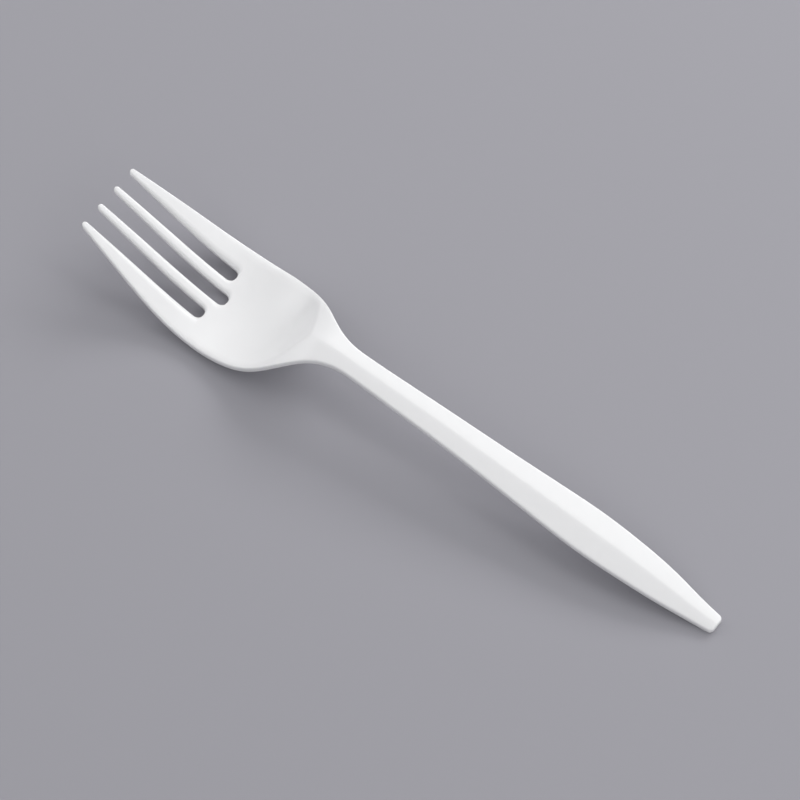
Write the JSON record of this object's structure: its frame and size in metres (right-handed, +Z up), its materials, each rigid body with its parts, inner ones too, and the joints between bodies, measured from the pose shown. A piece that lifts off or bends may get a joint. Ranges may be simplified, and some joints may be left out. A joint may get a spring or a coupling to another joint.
{
  "type": "plastic fork",
  "caption": "Disposable white plastic fork with straight tapering tines, a shallow bowl and a slim arched handle with a raised centre ridge and a cut-off end.",
  "frame": {"origin": "middle of the fork's footprint, on the surface it lies on", "axes": "+X along the fork towards the end of the handle, so the tines point along -X; +Y across the tines, to the right of someone who holds the handle; +Z up, out of the bowl"},
  "size_m": [0.155, 0.0256, 0.0131],
  "materials": {
    "white_plastic": "moulded, semi-gloss"
  },
  "bodies": {
    "root": {"fork": "white_plastic"}
  },
  "joints": []
}
